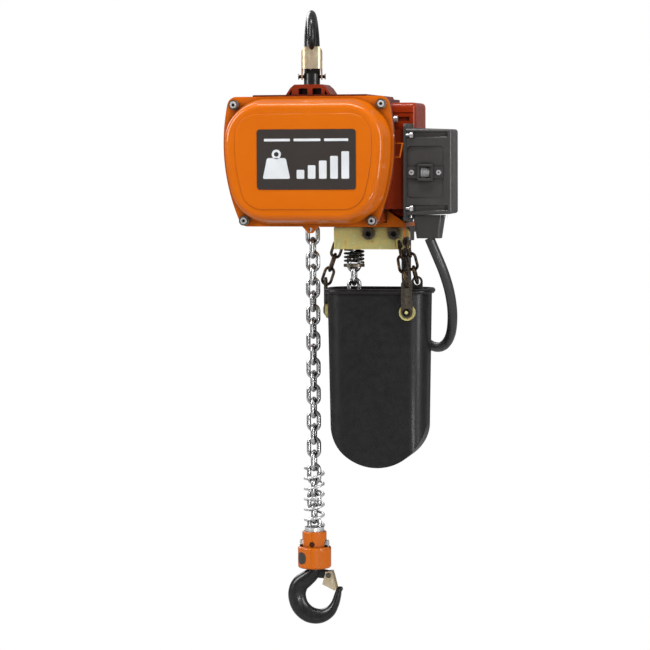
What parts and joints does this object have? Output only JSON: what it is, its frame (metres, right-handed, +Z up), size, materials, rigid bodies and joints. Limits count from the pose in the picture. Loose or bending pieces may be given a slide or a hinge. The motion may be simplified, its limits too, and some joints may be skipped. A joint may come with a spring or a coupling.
{
  "type": "chain hoist",
  "caption": "Electric chain hoist hung from a swivel hook, with gearbox cover, control box, load chain, hook block and slack-chain bucket.",
  "frame": {"origin": "centre of the top hook's bowl, where the hoist hangs", "axes": "+Z up along the load line, -Y towards the front cover, +X towards the control box, the top hook's bowl axis lies along X"},
  "size_m": [0.3045, 0.4234, 0.8805],
  "materials": {
    "orange_paint": "satin powder coat",
    "red_paint": "satin cast finish",
    "black_forging": "black oxide over forged texture",
    "yellow_zinc": "yellow zinc plate",
    "bright_zinc": "bright zinc plate",
    "machined_steel": "machined",
    "dark_steel": "black oxide",
    "black_plastic": "fine moulded grain",
    "bucket_plastic": "moulded, slightly glossy",
    "window_plastic": "clear-coated dark window",
    "label_film": "printed film",
    "cable_rubber": "black rubber sheath",
    "brass_rivet": "brass and plated steel",
    "gasket_rubber": "matt",
    "electrical": "moulded and potted"
  },
  "bodies": {
    "hook": {"top_hook": "black_forging", "top_latch_pin": "bright_zinc", "hook_nut": "machined_steel"},
    "top_latch": {"top_latch": "yellow_zinc"},
    "body": {"main_frame": "red_paint", "front_cover": "orange_paint", "cover_gasket": "gasket_rubber", "cover_screws": "bright_zinc", "rating_plate": "label_film", "motor_housing": "red_paint", "end_cover": "red_paint", "side_cover": "red_paint", "side_screws": "bright_zinc", "cable_clip": "orange_paint", "control_box_plate": "black_plastic", "control_box": "black_plastic", "control_box_screws": "bright_zinc", "counter_strap": "black_plastic", "counter_window": "window_plastic", "cable_gland": "black_plastic", "rear_gland": "black_plastic", "power_cable": "cable_rubber", "bracket_carrier": "orange_paint", "bucket_bracket": "yellow_zinc", "bracket_bolts": "dark_steel", "slack_spring_seats": "dark_steel", "slack_spring": "dark_steel", "gear_plate": "machined_steel", "ball_bearings": "machined_steel", "motor_stator": "machined_steel", "brake_coil": "electrical", "brake_plate": "machined_steel", "chain_guide": "machined_steel", "contactor": "electrical", "transformer": "electrical", "hook_thrust_bearing": "machined_steel"},
    "sheave": {"load_sheave": "machined_steel", "load_gear": "machined_steel"},
    "countershaft": {"layshaft": "machined_steel", "layshaft_gear": "machined_steel"},
    "motor": {"motor_shaft": "machined_steel", "motor_rotor": "machined_steel", "brake_disc": "gasket_rubber", "cooling_fan": "black_plastic"},
    "armature": {"brake_armature": "machined_steel"},
    "load": {"load_chain": "bright_zinc", "load_spring": "bright_zinc", "spring_washer": "bright_zinc", "block_left_half": "orange_paint", "block_right_half": "orange_paint", "chain_bolt": "bright_zinc", "block_thrust_bearing": "machined_steel"},
    "low_hook": {"lower_hook": "black_forging", "lower_latch_pin": "bright_zinc"},
    "low_latch": {"lower_latch": "yellow_zinc"},
    "slack": {"slack_chain": "bright_zinc"},
    "bucket": {"chain_bucket": "bucket_plastic", "bucket_straps": "dark_steel", "bucket_rivets": "brass_rivet", "bucket_chains": "dark_steel"}
  },
  "joints": [
    {"name": "hook_swivel", "type": "hinge", "parent": "hook", "child": "body", "pos_m": [0, 0, -0.08], "axis": [0, 0, 1], "continuous": true},
    {"name": "top_latch_hinge", "type": "hinge", "parent": "hook", "child": "top_latch", "pos_m": [0.00083, -0.00391, -0.052], "axis": [-0.9781, -0.2079, 0], "range_deg": [0, 20], "stiffness_Nm_per_rad": 0.05, "springref_deg": -34.38},
    {"name": "sheave_spin", "type": "hinge", "parent": "body", "child": "sheave", "pos_m": [0.03, 0, -0.165], "axis": [0, -1, 0], "range_deg": [0, 108]},
    {"name": "countershaft_spin", "type": "hinge", "parent": "body", "child": "countershaft", "pos_m": [-0.0225, 0, -0.165], "axis": [0, -1, 0], "range_deg": [-433, 1]},
    {"name": "motor_spin", "type": "hinge", "parent": "body", "child": "motor", "pos_m": [0.03, 0, -0.165], "axis": [0, -1, 0], "range_deg": [-5, 2598]},
    {"name": "load_travel", "type": "slide", "parent": "body", "child": "load", "axis": [0, 0, -1], "range_m": [0, 0.0574]},
    {"name": "slack_travel", "type": "slide", "parent": "body", "child": "slack", "axis": [0, 0, 1], "range_m": [0, 0.0574]},
    {"name": "brake_release", "type": "slide", "parent": "body", "child": "armature", "axis": [0, -1, 0], "range_m": [0, 0.0005], "stiffness_N_per_m": 20000, "springref_m": -0.004},
    {"name": "lower_hook_swivel", "type": "hinge", "parent": "load", "child": "low_hook", "pos_m": [0, 0, -0.757], "axis": [0, 0, 1], "continuous": true},
    {"name": "lower_latch_hinge", "type": "hinge", "parent": "low_hook", "child": "low_latch", "pos_m": [0.022, 0, -0.766], "axis": [0, 1, 0], "range_deg": [0, 24], "stiffness_Nm_per_rad": 0.03, "springref_deg": -34.38},
    {"name": "bucket_swing", "type": "hinge", "parent": "body", "child": "bucket", "pos_m": [0.09, 0, -0.287], "axis": [1, 0, 0], "range_deg": [-2, 2]}
  ],
  "couplings": [
    {"joint": "countershaft_spin", "follows": "sheave_spin", "ratio": -4},
    {"joint": "motor_spin", "follows": "sheave_spin", "ratio": 24},
    {"joint": "load_travel", "follows": "sheave_spin", "m_per_rad": 0.0304},
    {"joint": "slack_travel", "follows": "sheave_spin", "m_per_rad": 0.0304}
  ]
}
